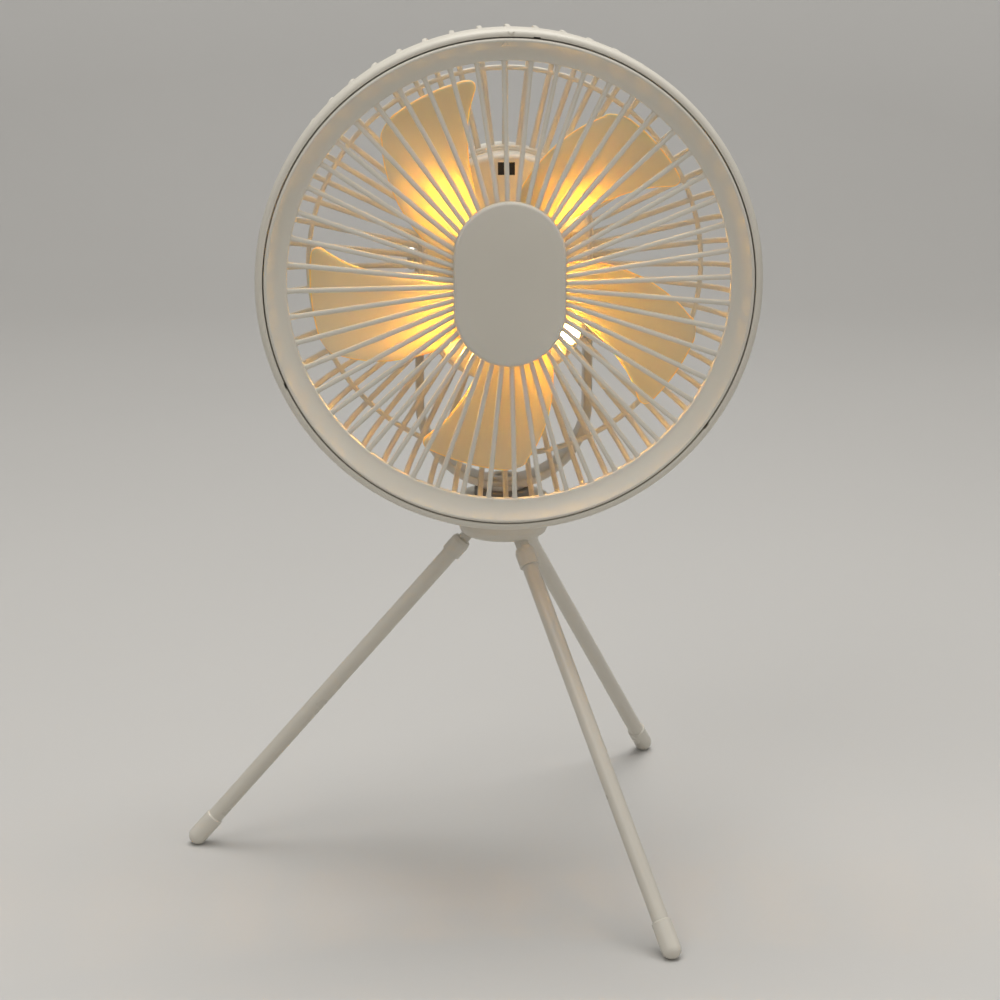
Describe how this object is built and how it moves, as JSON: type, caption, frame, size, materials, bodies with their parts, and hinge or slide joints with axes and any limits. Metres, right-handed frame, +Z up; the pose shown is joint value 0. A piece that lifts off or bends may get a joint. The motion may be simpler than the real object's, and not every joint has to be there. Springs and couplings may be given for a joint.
{
  "type": "portable camping fan",
  "caption": "Portable fan with a round wire-style grille, lamp lights behind the blades, a tilting bracket and a folding three-leg stand.",
  "frame": {"origin": "middle of the footprint box on the floor", "axes": "+Z up, the fan blows towards -Y, +X to the right of someone facing the fan"},
  "size_m": [0.2438, 0.2462, 0.3702],
  "materials": {
    "ivory_plastic": "fine satin moulding",
    "cap_plastic": "smooth gloss",
    "painted_tube": "smooth satin paint",
    "painted_bracket": "satin paint",
    "foot_plastic": "gloss",
    "blade_plastic": "milky, lets light through",
    "dark_window": "gloss",
    "lamp_lens": "warm frosted",
    "indicator_lens": "frosted",
    "board": "solder mask",
    "light_board": "white solder mask",
    "cell_can": "sleeved can",
    "cradle_plastic": "moulded",
    "steel": "bright",
    "dark_steel": "zinc-nickel",
    "brass": "turned",
    "aluminium": "cast",
    "copper_core": "laminations and enamelled wire",
    "rubber": "matt",
    "washer_plastic": "natural"
  },
  "bodies": {
    "tripod": {"tripod_hub": "ivory_plastic", "hub_pad": "rubber", "tripod_stud": "steel", "leg_carrier": "ivory_plastic", "hinge_pins": "steel"},
    "bracket": {"yoke": "painted_bracket", "yoke_bush": "painted_bracket"},
    "head": {"rear_guard": "ivory_plastic", "housing_front": "ivory_plastic", "housing_rear": "ivory_plastic", "ir_window": "dark_window", "led_lenses": "lamp_lens", "led_board": "light_board", "motor_mount": "aluminium", "motor_stator": "copper_core", "motor_bearings": "steel", "motor_screws": "dark_steel", "battery_cells": "cell_can", "battery_holder": "cradle_plastic", "control_board": "board", "indicator_window": "indicator_lens", "usb_c_inlet": "steel", "usb_c_tongue": "dark_window", "case_screws": "dark_steel", "pivot_screws": "steel", "pivot_washers": "washer_plastic", "pivot_inserts": "brass"},
    "grille": {"front_grille": "ivory_plastic", "grille_cap": "cap_plastic"},
    "rotor": {"rotor": "blade_plastic", "rotor_nut": "steel", "motor_bell": "dark_steel", "motor_shaft": "steel"},
    "power_button": {"power_button": "ivory_plastic"},
    "light_button": {"light_button": "ivory_plastic"},
    "timer_button": {"timer_button": "ivory_plastic"},
    "leg_left": {"knuckle_left": "ivory_plastic", "leg_tube_left": "painted_tube", "foot_left": "foot_plastic"},
    "leg_front": {"knuckle_front": "ivory_plastic", "leg_tube_front": "painted_tube", "foot_front": "foot_plastic"},
    "leg_back": {"knuckle_back": "ivory_plastic", "leg_tube_back": "painted_tube", "foot_back": "foot_plastic"}
  },
  "joints": [
    {"name": "leg_fold_left", "type": "hinge", "parent": "tripod", "child": "leg_left", "pos_m": [0.00728, 0.0034, 0.1493], "axis": [-0.0419, -0.9991, 0], "range_deg": [0, 40.73]},
    {"name": "leg_fold_front", "type": "hinge", "parent": "tripod", "child": "leg_front", "pos_m": [0.02541, -0.00811, 0.1493], "axis": [0.8862, 0.4633, 0], "range_deg": [0, 40.73]},
    {"name": "leg_fold_back", "type": "hinge", "parent": "tripod", "child": "leg_back", "pos_m": [0.02631, 0.01335, 0.1493], "axis": [-0.8443, 0.5358, 0], "range_deg": [0, 40.73]},
    {"name": "tripod_swivel", "type": "hinge", "parent": "tripod", "child": "bracket", "pos_m": [0.01966, 0.00288, 0.171], "axis": [0, 0, 1], "range_deg": [-180, 180]},
    {"name": "head_tilt", "type": "hinge", "parent": "bracket", "child": "head", "pos_m": [0.01966, 0.00288, 0.268], "axis": [-1, 0, 0], "range_deg": [-7, 90]},
    {"name": "fan_spin", "type": "hinge", "parent": "head", "child": "rotor", "pos_m": [0.01966, -0.04112, 0.268], "axis": [0, 1, 0], "continuous": true},
    {"name": "grille_twist", "type": "hinge", "parent": "head", "child": "grille", "pos_m": [0.01966, -0.05912, 0.268], "axis": [0, 1, 0], "range_deg": [0, 7.3]},
    {"name": "power_button_press", "type": "slide", "parent": "head", "child": "power_button", "axis": [0, -1, 0], "range_m": [0, 0.0008], "stiffness_N_per_m": 1500, "springref_m": -0.0003},
    {"name": "light_button_press", "type": "slide", "parent": "head", "child": "light_button", "axis": [0, -1, 0], "range_m": [0, 0.0008], "stiffness_N_per_m": 1500, "springref_m": -0.0003},
    {"name": "timer_button_press", "type": "slide", "parent": "head", "child": "timer_button", "axis": [0, -1, 0], "range_m": [0, 0.0008], "stiffness_N_per_m": 1500, "springref_m": -0.0003}
  ]
}
